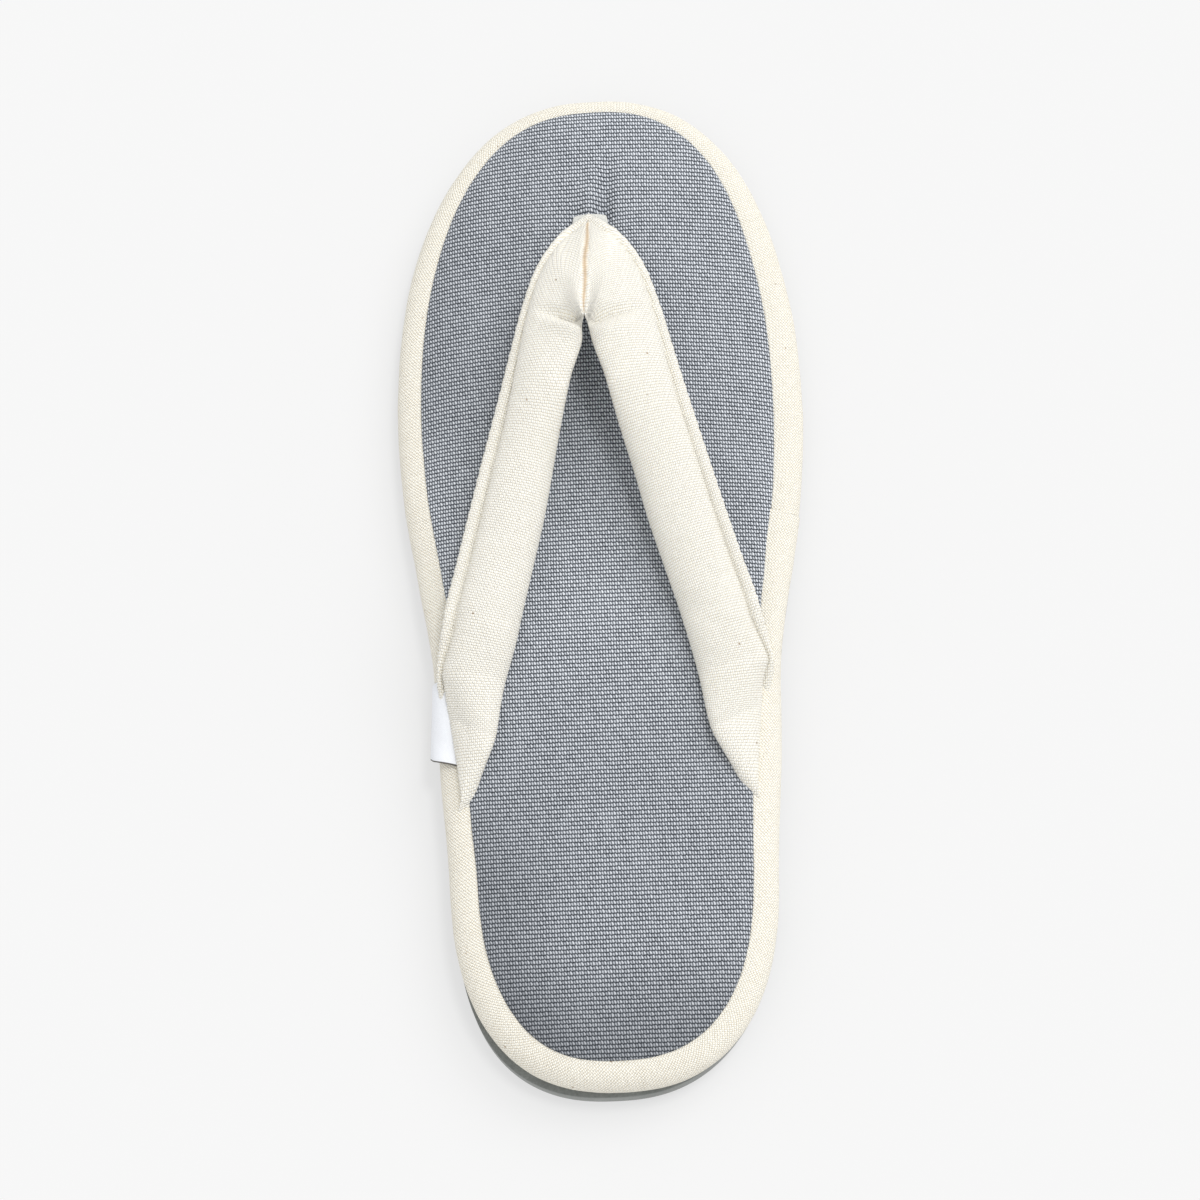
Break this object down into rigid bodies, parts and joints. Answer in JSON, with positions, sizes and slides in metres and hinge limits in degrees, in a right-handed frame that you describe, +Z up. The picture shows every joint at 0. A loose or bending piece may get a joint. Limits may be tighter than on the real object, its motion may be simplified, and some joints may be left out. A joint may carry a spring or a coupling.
{
  "type": "zori sandal",
  "caption": "Soft indoor zori: padded canvas footbed bound with tape on a thin suede-faced sole, with a padded V strap.",
  "frame": {"origin": "on the floor under the middle of the shoe's outline", "axes": "+Y along the sole from heel to toe, +X to the right as worn, +Z up from the floor"},
  "size_m": [0.105, 0.265, 0.0345],
  "materials": {
    "sole_suede": "matte grey suede",
    "footbed_canvas": "matte plain-weave canvas",
    "binding_canvas": "matte unbleached cotton, cut on the bias",
    "strap_canvas": "matte unbleached cotton, padded",
    "tape_cloth": "thin woven tape",
    "label_cloth": "smooth woven label cloth, blank"
  },
  "bodies": {
    "root": {"outsole": "sole_suede", "footbed": "footbed_canvas", "edge_binding": "binding_canvas", "strap": "strap_canvas", "toe_tape": "tape_cloth", "side_label": "label_cloth"}
  },
  "joints": []
}
